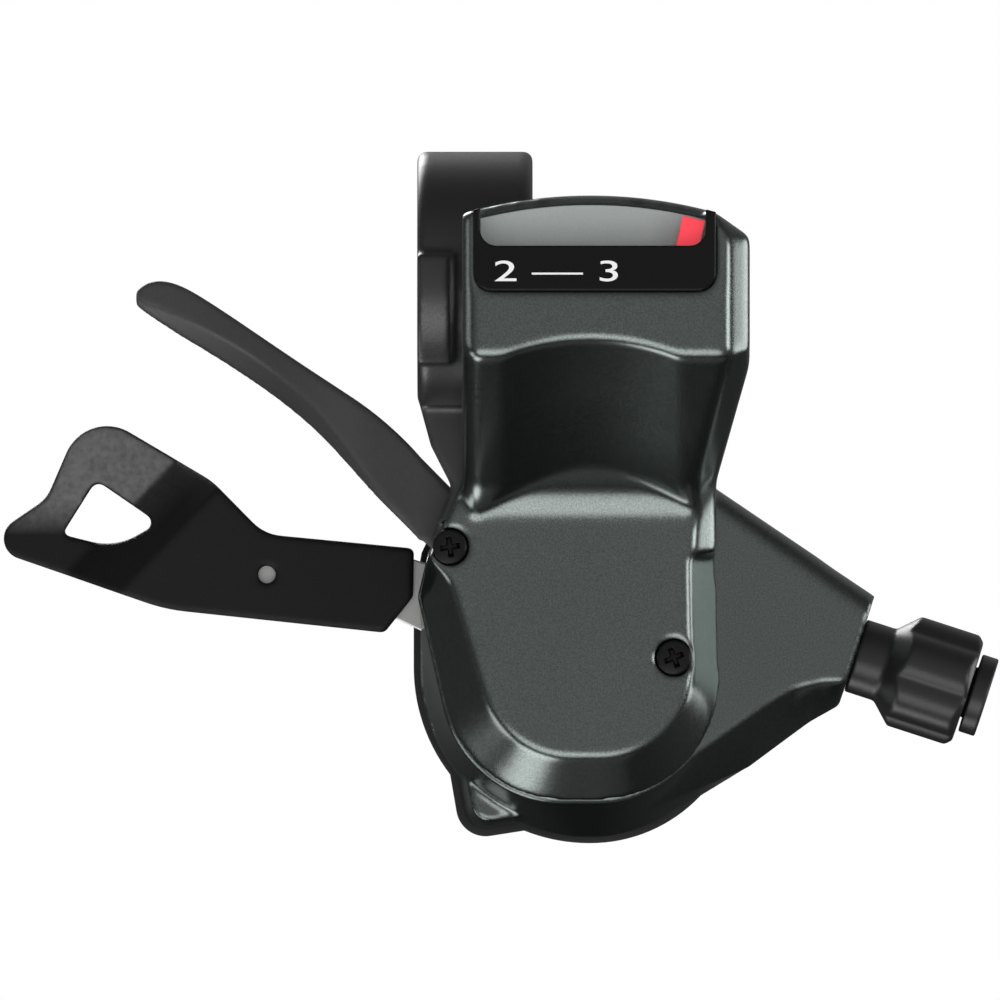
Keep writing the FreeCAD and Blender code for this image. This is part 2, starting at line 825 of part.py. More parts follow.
def nozzle_section(reach, up, down, flat_down):
    """Outline of the nozzle square to the cable, sizes measured across the cable's line."""
    tilt = math.radians(cable_tilt)
    upward = Vector(math.sin(tilt), 0, math.cos(tilt))
    back = parting_y + nozzle_depth
    shoulder = parting_y + nozzle_shoulder
    points = []
    for across, y in [(up, parting_y), (up, back), (-down, back), (-down, shoulder),
                      (-flat_down, parting_y)]:
        points.append(cable_point(reach) + upward * across + Vector(0, y - cable_y, 0))
    return rounded_wire(points, [nozzle_round, 0, 0, 0, 0])


def nozzle_form():
    """Body from the housing's side to the end of the nozzle, square to the cable."""
    back = parting_y + nozzle_depth
    shoulder = parting_y + nozzle_shoulder
    root = []
    for z, y in [(nozzle_root_top, parting_y), (nozzle_root_top, back), (-nozzle_root_low, back),
                 (-nozzle_root_shoulder, shoulder), (-nozzle_root_flat, parting_y)]:
        root.append(Vector(axle_x + nozzle_root_x, y, axle_z + z))
    sections = [rounded_wire(root, [nozzle_round, 0, 0, 0, 0])]
    end = (nozzle_reach, nozzle_up, nozzle_down, nozzle_flat_down)
    for station in nozzle_stations + [end]:
        sections.append(nozzle_section(*station))
    below_neck = box(-far, far, -far, far, -far, axle_z + body_top)
    return Part.makeLoft(sections, True, True).common(below_neck)


def housing_form(depth):
    flare = Part.makeLoft([
        front_wire(inset(parting_outline(), depth), parting_y),
        front_wire(inset(housing_outline(), depth), flare_y),
    ], True, True)
    return flare.fuse(slab(inset(housing_outline(), depth), flare_y, lid_y)).removeSplitter()


def main_housing():
    tab = Part.makeLoft([
        front_wire(from_axle(tab_front), lid_y - tab_depth), front_wire(from_axle(tab_back), lid_y),
    ], True, True)
    outer = joined([housing_form(0), nozzle_form(), tab])
    inside = housing_form(housing_wall)
    housing = outer.cut(inside)
    deck = sector(housing_r, deck_start, deck_end, parting_y, deck_y)
    deck = deck.common(inside).cut(disc(deck_inner_r, parting_y, deck_y))
    bosses = [disc(lid_boss_r, lid_y - lid_boss_depth, lid_y, place) for place in lid_screw_places()]
    bosses = [boss.common(outer) for boss in bosses]
    housing = joined([housing, deck] + bosses)
    for place in lid_screw_places():
        housing = housing.cut(disc(screw_d / 2 + thread_fit, lid_y - lid_boss_depth / 2, lid_y, place))
    for angle in housing_screw_angles:
        place = polar(housing_screw_r, angle)
        housing = housing.cut(disc(screw_d / 2 + thread_fit, parting_y, deck_y, place))
    pin = polar(stop_pivot_r, stop_pivot_angle)
    housing = housing.cut(disc(pawl_pin_d / 2 + thread_fit, parting_y, deck_y, pin))
    release_back = release_y + release_t + slot_gap
    release_slot = sector(2 * housing_r, release_slot_start, release_slot_end, parting_y - 1, release_back)
    housing = housing.cut(release_slot)
    lever_front = lever_y - slot_gap
    lever_back = rear_washer_y + slot_gap
    main_slot = sector(2 * housing_r, main_slot_start, main_slot_end, lever_front, lever_back)
    housing = housing.cut(main_slot)
    arm_slot = box(axle_x - arm_slot_half, axle_x + arm_slot_half, parting_y - 1,
                   arm_y + arm_t + slot_gap, axle_z + drum_d / 2, axle_z + body_top + 1)
    housing = housing.cut(arm_slot)
    guide = Part.makeCylinder(bolt_d / 2 + running_fit, guide_length + 1, cable_point(nozzle_reach + 1),
                              cable_direction() * -1)
    cable_way = Part.makeCylinder(cable_hole_d / 2, nozzle_reach, cable_point(0), cable_direction())
    return housing.cut(guide).cut(cable_way)


def rear_cover():
    lid = slab(inset(housing_outline(), -lid_rim), lid_y, lid_y + lid_t)
    tab = slab(inset(from_axle(tab_back), -lid_rim), lid_y, lid_y + lid_t)
    lid = joined([lid, tab])
    for place in lid_screw_places():
        lid = lid.cut(disc(screw_d / 2 + screw_fit, lid_y, lid_y + lid_t, place))
    return lid


def main_axle():
    head = disc(axle_head_d / 2, base_y - axle_head_t, base_y)
    shaft = disc(axle_d / 2, base_y - axle_head_t / 2, axle_end_y)
    return head.fuse(shaft).removeSplitter()


def axle_nut():
    nut = slab(hexagon_corners(nut_flats, (axle_x, axle_z)), nut_y, axle_end_y)
    return nut.cut(disc(axle_d / 2 + thread_fit, nut_y, axle_end_y))


def hub_bore(y_start, y_end):
    return disc(axle_d / 2 + running_fit, y_start, y_end)


def washer(y, thickness):
    return disc(washer_d / 2, y, y + thickness).cut(hub_bore(y, y + thickness))


def release_lever():
    end = release_y + release_t
    sections = []
    for x, top, crease, low, back, fold in release_stations:
        face = release_y + back
        thick = release_t if back == 0 else release_blade_t
        folded = min(face + fold + release_edge_t, end) if back == 0 else face + fold + release_edge_t
        corners = [(face, axle_z + top), (face, axle_z + crease), (face + fold, axle_z + low),
                   (folded, axle_z + low + release_edge_t / 2), (face + thick, axle_z + top)]
        sections.append(side_wire(corners, axle_x + x))
    blade = Part.makeLoft(sections, True)
    first = release_stations[0]
    angle = math.radians(release_rest)
    across = (-math.sin(angle) * release_root, math.cos(angle) * release_root)
    shank = slab(from_axle([
        (-across[0], -across[1]), across, (first[0], first[3] + release_edge_t / 2),
        (first[0], first[1]),
    ]), release_y, end)
    cam = sector(release_cam_r, release_cam_start, release_cam_end, release_y, end)
    cam = cam.common(disc(release_cam_r, release_y, end))
    lever = joined([blade, shank, cam, disc(hub_d / 2, release_y, end)])
    return lever.cut(hub_bore(release_y, end))


def arm_polyline(offset):
    """Side view of the indicator arm's centre line, moved along its normal by an offset."""
    flat_y = arm_y + arm_t / 2 - offset
    head = needle_y() + needle_t + arm_t / 2 - offset
    line = arm_line + offset
    return [(flat_y, slope_z(line, flat_y)), (head, slope_z(line, head))], flat_y, head


def indicator_arm():
    """Flat strip bent twice: out from the hub, along the neck, up behind the window."""
    half = arm_t / 2
    front, flat_front, head_front = arm_polyline(half)
    back, flat_back, head_back = arm_polyline(-half)
    profile = [
        (flat_front, axle_z + axle_d / 2), front[0], front[1], (head_front, axle_z + arm_tip_r),
        (head_back, axle_z + arm_tip_r), back[1], back[0], (flat_back, axle_z + axle_d / 2),
    ]
    strip = bar_along_x(profile, axle_x - arm_w / 2, axle_x + arm_w / 2)
    strip = strip.fuse(disc(arm_hub_d / 2, arm_y, arm_y + arm_t)).removeSplitter()
    strip = strip.cut(hub_bore(arm_y, arm_y + arm_t))
    return drilled(turned(strip, -arm_lean), arm_y, arm_y + arm_t)


def turned(shape, degrees):
    """Shape turned about the axle, counter-clockwise as the rider sees it."""
    copy = shape.copy()
    copy.rotate(Vector(axle_x, 0, axle_z), Vector(0, -1, 0), degrees)
    return copy


def rivet_places():
    return [polar(rivet_r, rivet_start + 360 * i / rivet_count) for i in range(rivet_count)]


def drilled(shape, y_start, y_end):
    for place in rivet_places():
        shape = shape.cut(disc(rivet_d / 2 + thread_fit, y_start, y_end, place))
    return shape


def indicator_needle():
    half = needle_w / 2
    corners = from_axle([
        (-half, needle_low_r), (half, needle_low_r), (half, arm_tip_r), (-half, arm_tip_r),
    ])
    return turned(slab(corners, needle_y(), needle_y() + needle_t), -arm_lean)


def index_plate():
    end = index_y + index_t
    plate = disc(index_d / 2, index_y, end).cut(hub_bore(index_y, end))
    rim, root = stop_notch
    for i in range(2):
        back = i * stop_step
        corners = [polar(index_d, rim[0] - back), polar(stop_notch_r, root[0] - back),
                   polar(stop_notch_r, root[1] - back), polar(index_d, rim[1] - back)]
        plate = plate.cut(slab(corners, index_y, end))
    return drilled(plate, index_y, end)


def winding_drum():
    end = drum_y + drum_t
    drum = disc(drum_d / 2, drum_y, end)
    floor = axle_x + groove_d / 2
    rim = axle_x + drum_d
    corners = [
        Vector(rim, cable_y - groove_w, axle_z), Vector(floor, cable_y - groove_w / 4, axle_z),
        Vector(floor, cable_y + groove_w / 4, axle_z), Vector(rim, cable_y + groove_w, axle_z),
    ]
    groove = Part.Face(Part.makePolygon(corners + corners[:1]))
    groove = groove.revolve(Vector(axle_x, 0, axle_z), Vector(0, 1, 0), 360)
    drum = drum.cut(groove).cut(hub_bore(drum_y, end))
    return drilled(drum, drum_y, end)


def feed_ratchet():
    end = ratchet_y + ratchet_t
    plate = disc(index_d / 2, ratchet_y, end).cut(hub_bore(ratchet_y, end))
    for i in range(2):
        back = i * (feed_notch_end - feed_notch_rim + feed_tooth)
        corners = [polar(index_d, feed_notch_rim - back), polar(feed_notch_r, feed_notch_start - back),
                   polar(feed_notch_r, feed_notch_end - back), polar(index_d, feed_notch_end - back)]
        plate = plate.cut(slab(corners, ratchet_y, end))
    return drilled(plate, ratchet_y, end)


def drum_rivets():
    end = ratchet_y + ratchet_t
    return Part.makeCompound([disc(rivet_d / 2, arm_y, end, place) for place in rivet_places()])


def pawl(pivot, nose_r, nose_angle, y):
    """Eye on a pin and a finger with a radial nose."""
    tip = polar(nose_r, nose_angle)
    shoulder = polar(nose_r + pawl_tip, nose_angle)
    along = Vector(tip[0] - pivot[0], tip[1] - pivot[1], 0).normalize()
    across = (-along.y * pawl_half, along.x * pawl_half)
    sides = [(pivot[0] + across[0], pivot[1] + across[1]), (pivot[0] - across[0], pivot[1] - across[1])]
    sides.sort(key=lambda side: math.hypot(side[0] - axle_x, side[1] - axle_z))
    heel = polar(nose_r + pawl_hook, nose_angle - pawl_heel)
    finger = slab([sides[0], heel, tip, shoulder, sides[1]], y, y + pawl_t)
    body = finger.fuse(disc(pawl_eye_r, y, y + pawl_t, pivot)).removeSplitter()
    return body.cut(disc(pawl_pin_d / 2 + running_fit, y, y + pawl_t, pivot))


def stop_pawl():
    pivot = polar(stop_pivot_r, stop_pivot_angle)
    level = drum_y - pawl_t
    body = pawl(pivot, stop_nose_r, stop_nose_angle, level)
    heel = stop_nose_angle - pawl_heel
    tab = [polar(stop_nose_r, stop_nose_angle), polar(stop_nose_r + pawl_tip, stop_nose_angle),
           polar(stop_nose_r + pawl_tip, heel), polar(stop_nose_r + pawl_hook, heel)]
    return body.fuse(slab(tab, release_y + side_gap, level)).removeSplitter()


def stop_pawl_pin():
    return disc(pawl_pin_d / 2, parting_y, drum_y - seat_gap, polar(stop_pivot_r, stop_pivot_angle))


def feed_pawl():
    pivot = polar(feed_pivot_r, feed_pivot_angle)
    level = lever_y - washer_t - pawl_t
    return pawl(pivot, feed_nose_r, feed_nose_angle, level)


def feed_pawl_pin():
    level = lever_y - washer_t - pawl_t
    return disc(pawl_pin_d / 2, level, rear_washer_y, polar(feed_pivot_r, feed_pivot_angle))


def blade_corners():
    """Front view of the steel blade, from the hub out into the thumb pad."""
    root = blade_root + blade_flare
    return from_axle([
        (0, root), (-blade_neck_x, blade_neck_z + blade_root),
        (-blade_end_x, blade_end_z + blade_end_half, small_corner),
        (-blade_end_x, blade_end_z - blade_end_half, small_corner),
        (-blade_neck_x - blade_skew, blade_neck_z - blade_root), (0, -root),
    ])


def main_lever_plate():
    end = rear_washer_y
    blade = slab(blade_corners(), lever_y, end)
    pivot = polar(feed_pivot_r, feed_pivot_angle)
    eye = disc(pawl_eye_r, lever_y, end, pivot)
    angle = math.radians(feed_pivot_angle)
    side = (-math.sin(angle) * pawl_eye_r, math.cos(angle) * pawl_eye_r)
    web = slab([
        (axle_x + side[0], axle_z + side[1]), (pivot[0] + side[0], pivot[1] + side[1]),
        (pivot[0] - side[0], pivot[1] - side[1]), (axle_x - side[0], axle_z - side[1]),
    ], lever_y, end)
    plate = joined([blade, disc(blade_hub_d / 2, lever_y, end), eye, web])
    plate = plate.cut(disc(pawl_pin_d / 2 + thread_fit, lever_y, end, pivot))
    return plate.cut(hub_bore(lever_y, end))


def main_lever_pad():
    front = lever_y - pad_front
    back = rear_washer_y + pad_back
    turn = pad_bend_start - pad_bend_run
    tip = turn - pad_loop_run
    profile = [
        (0, front), (pad_bend_start, front), (turn, front + pad_bend_depth), (tip, front + pad_loop_depth),
        (tip, back + pad_loop_depth), (turn - pad_bend_shift, back + pad_bend_depth),
        (pad_bend_start - pad_bend_shift, back), (0, back),
    ]
    points = [Vector(axle_x + x, y, axle_z) for x, y in profile]
    bend = Part.Face(Part.makePolygon(points + points[:1]))
    bend = bend.extrude(Vector(pad_reach_up * pad_bend_lean, 0, pad_reach_up))
    pad = slab(from_axle(pad_outline), front - 1, back + far).common(bend)
    pad = pad.cut(slab(from_axle(pad_window), front, back + far))
    pocket = slab(inset(blade_corners(), -seat_gap), lever_y - seat_gap, rear_washer_y + seat_gap)
    pad = pad.cut(pocket)
    hole = from_axle([(pad_hole_x, pad_hole_z)])[0]
    return pad.cut(disc(pad_hole_d / 2, front - 1, lever_y, hole))


def spring_arc(radius, start, end, y):
    """Part of a turn of spring wire about the axle."""
    wire = ring(radius, radius - wire_t, y, y + wire_t)
    return wire.common(sector(2 * radius, start, end, y, y + wire_t))


def main_lever_spring():
    return spring_arc(main_spring_r, main_spring_start, main_spring_end, rear_washer_y + seat_gap)


def release_lever_spring():
    return spring_arc(release_spring_r, release_spring_start, release_spring_end, release_y + side_gap)


def along_cable(shape):
    """Shape drawn upwards from its seat, laid along the cable from the nozzle's end."""
    turn = FreeCAD.Rotation(Vector(0, 0, 1), cable_direction())
    shape.Placement = FreeCAD.Placement(cable_point(nozzle_reach), turn)
    return shape


def round_body(profile):
    """Profile of (radius, height) points turned about the vertical."""
    points = [Vector(radius, 0, height) for radius, height in profile]
    return Part.Face(Part.makePolygon(points + points[:1])).revolve(Vector(0, 0, 0), Vector(0, 0, 1), 360)


def adjuster_knob():
    start = seat_gap
    grip = knob_collar + knob_cone
    bore = bolt_d / 2 + running_fit
    body = round_body([
        (bore, start), (knob_collar_d / 2, start), (knob_collar_d / 2, knob_collar), (knob_d / 2, grip),
        (knob_d / 2, knob_length - knob_edge), (knob_d / 2 - knob_edge, knob_length), (bore, knob_length),
    ])
    lobes = []
    for i in range(knob_lobes):
        angle = math.radians(lobe_start + i * 360 / knob_lobes)
        centre = Vector(lobe_offset * math.cos(angle), lobe_offset * math.sin(angle), 0)
        lobes.append(Part.makeCylinder(lobe_r, knob_length, centre))
    return along_cable(body.common(joined(lobes)))


def adjuster_bolt():
    lip = knob_length + side_gap
    end = lip + bolt_lip_t
    socket = casing_d / 2
    floor = end - casing_depth
    body = round_body([
        (cable_hole_d / 2, -bolt_inside), (bolt_d / 2, -bolt_inside), (bolt_d / 2, lip),
        (bolt_lip_d / 2, lip), (bolt_lip_d / 2, end), (socket, end), (socket, floor),
        (cable_hole_d / 2, floor),
    ])
    return along_cable(body)


os.makedirs("parts", exist_ok=True)
pieces = {
    "clamp_bracket": clamp_bracket(),
    "clamp_bolt": clamp_bolt(),
    "clamp_nut": clamp_nut(),
    "top_cover": top_cover(),
    "main_housing": main_housing(),
    "rear_cover": rear_cover(),
    "display_bezel": display_bezel(),
    "display_lens": display_lens(),
    "dial_plate": dial_plate(),
    "display_back_cover": display_back_cover(),
    "cover_screws": cover_screws(),
    "housing_screws": housing_screws(),
    "rear_cover_screws": rear_cover_screws(),
    "main_axle": main_axle(),
    "axle_nut": axle_nut(),
    "front_washer": washer(parting_y, washer_t),
    "middle_washer": washer(ratchet_y + ratchet_t, washer_t),
    "rear_washer": washer(rear_washer_y, rear_washer_t),
    "release_lever": release_lever(),
    "indicator_arm": indicator_arm(),
    "indicator_needle": indicator_needle(),
    "index_plate": index_plate(),
    "winding_drum": winding_drum(),
    "feed_ratchet": feed_ratchet(),
    "drum_rivets": drum_rivets(),
    "stop_pawl": stop_pawl(),
    "stop_pawl_pin": stop_pawl_pin(),
    "feed_pawl": feed_pawl(),
    "feed_pawl_pin": feed_pawl_pin(),
    "main_lever_plate": main_lever_plate(),
    "main_lever_pad": main_lever_pad(),
    "main_lever_spring": main_lever_spring(),
    "release_lever_spring": release_lever_spring(),
    "adjuster_knob": adjuster_knob(),
    "adjuster_bolt": adjuster_bolt(),
}
for name, shape in pieces.items():
    print(name, len(shape.Solids), shape.isValid(), round(shape.Volume, 2))
    shape.exportStep("parts/" + name + ".step")
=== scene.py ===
import json
import math

import bmesh
import bpy
import numpy as np
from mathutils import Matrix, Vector


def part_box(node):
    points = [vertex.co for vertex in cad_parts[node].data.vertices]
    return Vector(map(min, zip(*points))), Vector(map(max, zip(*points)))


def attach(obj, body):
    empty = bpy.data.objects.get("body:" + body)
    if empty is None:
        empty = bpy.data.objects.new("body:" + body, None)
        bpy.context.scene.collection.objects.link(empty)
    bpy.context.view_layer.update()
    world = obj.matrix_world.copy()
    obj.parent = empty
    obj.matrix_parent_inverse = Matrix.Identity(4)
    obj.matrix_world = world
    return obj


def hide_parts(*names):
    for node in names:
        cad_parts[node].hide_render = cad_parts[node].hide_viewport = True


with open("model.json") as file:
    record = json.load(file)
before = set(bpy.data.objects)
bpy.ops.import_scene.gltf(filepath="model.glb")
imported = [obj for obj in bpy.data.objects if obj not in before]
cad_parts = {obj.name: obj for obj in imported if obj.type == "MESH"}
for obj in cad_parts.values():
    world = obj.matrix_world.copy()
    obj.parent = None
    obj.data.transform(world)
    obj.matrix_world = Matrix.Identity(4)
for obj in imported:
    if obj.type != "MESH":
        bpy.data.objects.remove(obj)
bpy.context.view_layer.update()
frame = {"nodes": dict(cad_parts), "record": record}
nodes = frame["nodes"]
record = frame["record"]
bodyOf = {node: body for body, names in record["behaviour"]["bodies"].items() for node in names}
slotOf = {part["node"]: part["material_slot"] for part in record["subparts"]}
mm = 0.001
print("frame loaded:", len(nodes), "nodes")


class Wire:
    # a socket that takes part in sums, so that shader maths reads as maths
    def __init__(self, tree, socket=None):
        self.tree = tree
        self.socket = socket

    # any node: its type, its settings first, then the values or links of its sockets
    def node(self, kind, settings=None, links=None, out=0):
        made = self.tree.nodes.new("ShaderNode" + kind)
        for name, value in (settings or {}).items():
            setattr(made, name, value)
        for name, value in (links or {}).items():
            if isinstance(value, Wire):
                self.tree.links.new(value.socket, made.inputs[name])
            else:
                made.inputs[name].default_value = value
        return Wire(self.tree, made.outputs[out]) if len(made.outputs) else None

    def maths(self, operation, first, second):
        return self.node("Math", {"operation": operation}, {0: first, 1: second})

    def __add__(self, other):
        return self.maths("ADD", self, other)

    def __sub__(self, other):
        return self.maths("SUBTRACT", self, other)

    def __mul__(self, other):
        return self.maths("MULTIPLY", self, other)

    def __truediv__(self, other):
        return self.maths("DIVIDE", self, other)

    def __pow__(self, other):
        return self.maths("POWER", self, other)

    def __rsub__(self, other):
        return self.maths("SUBTRACT", other, self)

    __radd__ = __add__
    __rmul__ = __mul__

    # the larger or the smaller of this value and another
    def atLeast(self, other):
        return self.maths("MAXIMUM", self, other)

    def atMost(self, other):
        return self.maths("MINIMUM", self, other)

    def axis(self, letter):
        return self.node("SeparateXYZ", {}, {"Vector": self}, letter)

    def noise(self, scale, detail=2.0):
        place = self.node("TexCoord", out="Object")
        return self.node("TexNoise", {}, {"Vector": place, "Scale": scale, "Detail": detail}, "Fac")

    # colour mix: sockets 0, 6 and 7 are its factor and two colours, output 2 is the colour
    def mix(self, share, first, second):
        return self.node("Mix", {"data_type": "RGBA"}, {0: share, 6: first, 7: second}, 2)

    # fine height over normals that are rounded off within a radius of each edge
    def bump(self, height, strength, depth, radius):
        rounded = self.node("Bevel", {"samples": 6}, {"Radius": radius})
        links = {"Height": height, "Strength": strength, "Distance": depth, "Normal": rounded}
        return self.node("Bump", {}, links)


def newMaterial(name):
    material = bpy.data.materials.new(name)
    material.use_nodes = True
    material.node_tree.nodes.clear()
    return material, Wire(material.node_tree)


def closeMaterial(start, sockets):
    shader = start.node("BsdfPrincipled", {}, sockets)
    start.node("OutputMaterial", {}, {"Surface": shader})


# dark, light: the two tones; spread: how far the grain moves the roughness; drift: share of cloud over grain
# cloud, grain: noise scales; depth, soft: height of the grain and radius of the edges, in mm
# fleck: contrast of the grain in the colour; paintedGlow: strength of a painted glow, light given off by a
# part that is no lamp
looks = {
    "cover_paint": {
        "dark": (0.12, 0.137, 0.132, 1), "light": (0.2, 0.224, 0.216, 1),
        "roughness": 0.21, "spread": 0.12, "metallic": 1.0, "specular": 0.3,
        "cloud": 60, "grain": 5200, "drift": 0.3, "strength": 0.15, "depth": 0.02, "soft": 0.7, "fleck": 3.0,
    },
    "lever_black": {
        "dark": (0.003, 0.003, 0.0032, 1), "light": (0.008, 0.008, 0.0085, 1),
        "roughness": 0.42, "spread": 0.2, "metallic": 0.0, "specular": 0.25,
        "cloud": 80, "grain": 4200, "drift": 0.4, "strength": 0.35, "depth": 0.03, "soft": 0.9,
    },
    # painted light: the lever black again with its tones raised, to stand for the light that falls on the
    # release lever's face
    "release_black_painted_light": {
        "dark": (0.026, 0.026, 0.0265, 1), "light": (0.05, 0.05, 0.051, 1),
        "roughness": 0.36, "spread": 0.2, "metallic": 0.0, "specular": 0.5,
        "cloud": 80, "grain": 4200, "drift": 0.4, "strength": 0.3, "depth": 0.03, "soft": 0.9,
    },
    "clamp_black": {
        "dark": (0.006, 0.006, 0.0063, 1), "light": (0.014, 0.014, 0.0145, 1),
        "roughness": 0.36, "spread": 0.2, "metallic": 0.0, "specular": 0.9,
        "cloud": 90, "grain": 4000, "drift": 0.4, "strength": 0.35, "depth": 0.03, "soft": 0.6,
    },
    "knob_black": {
        "dark": (0.005, 0.005, 0.0053, 1), "light": (0.011, 0.011, 0.0115, 1),
        "roughness": 0.36, "spread": 0.14, "metallic": 0.0, "specular": 0.6,
        "cloud": 120, "grain": 3600, "drift": 0.4, "strength": 0.25, "depth": 0.03, "soft": 0.5,
    },
    "lid_black": {
        "dark": (0.008, 0.008, 0.008, 1), "light": (0.02, 0.021, 0.021, 1),
        "roughness": 0.55, "spread": 0.2, "metallic": 0.0, "specular": 0.35,
        "cloud": 70, "grain": 3000, "drift": 0.4, "strength": 0.5, "depth": 0.04, "soft": 0.5,
    },
    "black_screw": {
        "dark": (0.002, 0.002, 0.002, 1), "light": (0.006, 0.006, 0.006, 1),
        "roughness": 0.3, "spread": 0.15, "metallic": 0.0, "specular": 0.25,
        "cloud": 200, "grain": 4000, "drift": 0.5, "strength": 0.2, "depth": 0.02, "soft": 0.15,
    },
    "gloss_black": {
        "dark": (0.003, 0.003, 0.0032, 1), "light": (0.0045, 0.0045, 0.005, 1),
        "roughness": 0.09, "spread": 0.03, "metallic": 0.0, "specular": 0.2,
        "cloud": 90, "grain": 2500, "drift": 0.6, "strength": 0.05, "depth": 0.01, "soft": 0.4,
    },
    "steel": {
        "dark": (0.5, 0.5, 0.49, 1), "light": (0.68, 0.68, 0.67, 1),
        "roughness": 0.34, "spread": 0.2, "metallic": 1.0, "specular": 0.5,
        "cloud": 150, "grain": 3200, "drift": 0.5, "strength": 0.2, "depth": 0.02, "soft": 0.2,
    },
    "dial_silver": {
        "dark": (0.42, 0.46, 0.45, 1), "light": (0.62, 0.66, 0.65, 1),
        "roughness": 0.4, "spread": 0.15, "metallic": 0.3, "specular": 0.4,
        "cloud": 110, "grain": 4200, "drift": 0.4, "strength": 0.1, "depth": 0.01, "soft": 0.2,
    },
    # the red needle gets a painted glow, so it shows brighter than the lamps make it
    "needle_red": {
        "dark": (0.9, 0.035, 0.06, 1), "light": (1.0, 0.06, 0.09, 1),
        "roughness": 0.42, "spread": 0.1, "metallic": 0.0, "specular": 0.4,
        "cloud": 200, "grain": 3000, "drift": 0.5, "strength": 0.1, "depth": 0.01, "soft": 0.3, "paintedGlow": 0.5,
    },
    "print_white": {
        "dark": (0.8, 0.8, 0.8, 1), "light": (0.9, 0.9, 0.9, 1),
        "roughness": 0.5, "spread": 0.1, "metallic": 0.0, "specular": 0.5,
        "cloud": 200, "grain": 3000, "drift": 0.5, "strength": 0.05, "depth": 0.01, "soft": 0.02,
    },
    "drum_plastic": {
        "dark": (0.55, 0.54, 0.5, 1), "light": (0.7, 0.69, 0.65, 1),
        "roughness": 0.5, "spread": 0.15, "metallic": 0.0, "specular": 0.5,
        "cloud": 120, "grain": 2600, "drift": 0.5, "strength": 0.2, "depth": 0.02, "soft": 0.3,
    },
}
cloudDetail = 3.0
middle = 0.5  # mean value of a noise


# grained finish: two tones mixed by a cloud and a grain, the grain also in roughness and in height
def grainedFinish(name, look):
    material, start = newMaterial(name)
    cloud = start.noise(look["cloud"], cloudDetail)
    grain = start.noise(look["grain"])
    fleck = (grain - middle) * look.get("fleck", 1.0) + middle
    share = cloud * look["drift"] + fleck * (1 - look["drift"])
    sockets = {
        "Base Color": start.mix(share, look["dark"], look["light"]),
        "Roughness": look["roughness"] + (grain - middle) * look["spread"],
        "Metallic": look["metallic"],
        "Specular IOR Level": look["specular"],
        "Normal": start.bump(grain, look["strength"], look["depth"] * mm, look["soft"] * mm),
    }
    # painted light: a look with paintedGlow gives off its light tone as a glow, though the part is no lamp
    if "paintedGlow" in look:
        sockets["Emission Color"] = look["light"]
        sockets["Emission Strength"] = look["paintedGlow"]
    closeMaterial(start, sockets)
    return material


clearLens = {
    "tint": (0.04, 0.045, 0.044, 1), "roughness": 0.02, "mist": 0.03, "mistScale": 900, "alpha": 0.05,
    "specular": 0.5,
}


# clear moulded window: nearly see-through, with a faint mist in its roughness
def clearWindow(name):
    material, start = newMaterial(name)
    closeMaterial(start, {
        "Base Color": clearLens["tint"],
        "Roughness": clearLens["roughness"] + clearLens["mist"] * start.noise(clearLens["mistScale"]),
        "Alpha": clearLens["alpha"],
        "Specular IOR Level": clearLens["specular"],
    })
    return material


# place: a point of the bend line; towards: across that line to the loop; low: top of the lower bar
# painted highlight on the pad's loop: light is its pale tone, facing keeps it to the parts that face the
# front, least and speckle set its even share and its grain
grip = {
    "place": (-30.0 * mm, -22.1 * mm), "towards": (-0.72, 0.69), "low": -28.5 * mm, "fade": 3.5 * mm,
    "facing": 6.0, "light": (0.13, 0.13, 0.131, 1), "speckle": 1400, "least": 0.35,
}


# thumb pad: black, with a painted highlight, pale with a speckled grain, on the front-facing part of its loop
# share = (distance past the bend line or above the bar, whichever is less, over the fade) times front-facing
# to a power, for the painted highlight, times speckle
def gripFinish(name, look):
    material, start = newMaterial(name)
    grain = start.noise(look["grain"])
    speckle = start.noise(grip["speckle"], cloudDetail)
    place = start.node("TexCoord", out="Object")
    across = (place.axis("X") - grip["place"][0]) * grip["towards"][0]
    upward = (place.axis("Z") - grip["place"][1]) * grip["towards"][1]
    above = place.axis("Z") - grip["low"]
    inside = ((across + upward).atMost(above) / grip["fade"]).atLeast(0.0).atMost(1.0)
    # painted highlight: lighter where the surface faces the front
    facing = -1.0 * start.node("TexCoord", out="Normal").axis("Y")
    share = inside * facing.atLeast(0.0) ** grip["facing"] * (grip["least"] + speckle)
    black = start.mix(grain, look["dark"], look["light"])
    closeMaterial(start, {
        "Base Color": start.mix(share, black, grip["light"]),
        "Roughness": look["roughness"] + (grain - middle) * look["spread"],
        "Specular IOR Level": look["specular"],
        "Normal": start.bump(grain, look["strength"], look["depth"] * mm, look["soft"] * mm),
    })
    return material


materials = {slot: grainedFinish(slot, look) for slot, look in looks.items()}
materials["grip"] = gripFinish("grip", looks["lever_black"])
materials["clear_lens"] = clearWindow("clear_lens")
print("finishes made:", len(materials))

# the pad's loop takes the painted highlight finish, the release lever the painted-light copy of the lever
# black
ownFinish = {"main_lever_pad": "grip", "release_lever": "release_black_painted_light"}


# the piece stands for a solid, rides on its body and takes its finish
def adopt(piece, node):
    piece.data.materials.clear()
    piece.data.materials.append(materials[ownFinish.get(node, slotOf[node])])
    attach(piece, bodyOf[node])
    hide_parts(node)
    return piece


def linkMesh(name, mesh):
    piece = bpy.data.objects.new(name, mesh)
    bpy.context.scene.collection.objects.link(piece)
    return piece


merging = {"gap": 0.002 * mm, "flatAngle": math.radians(0.4)}


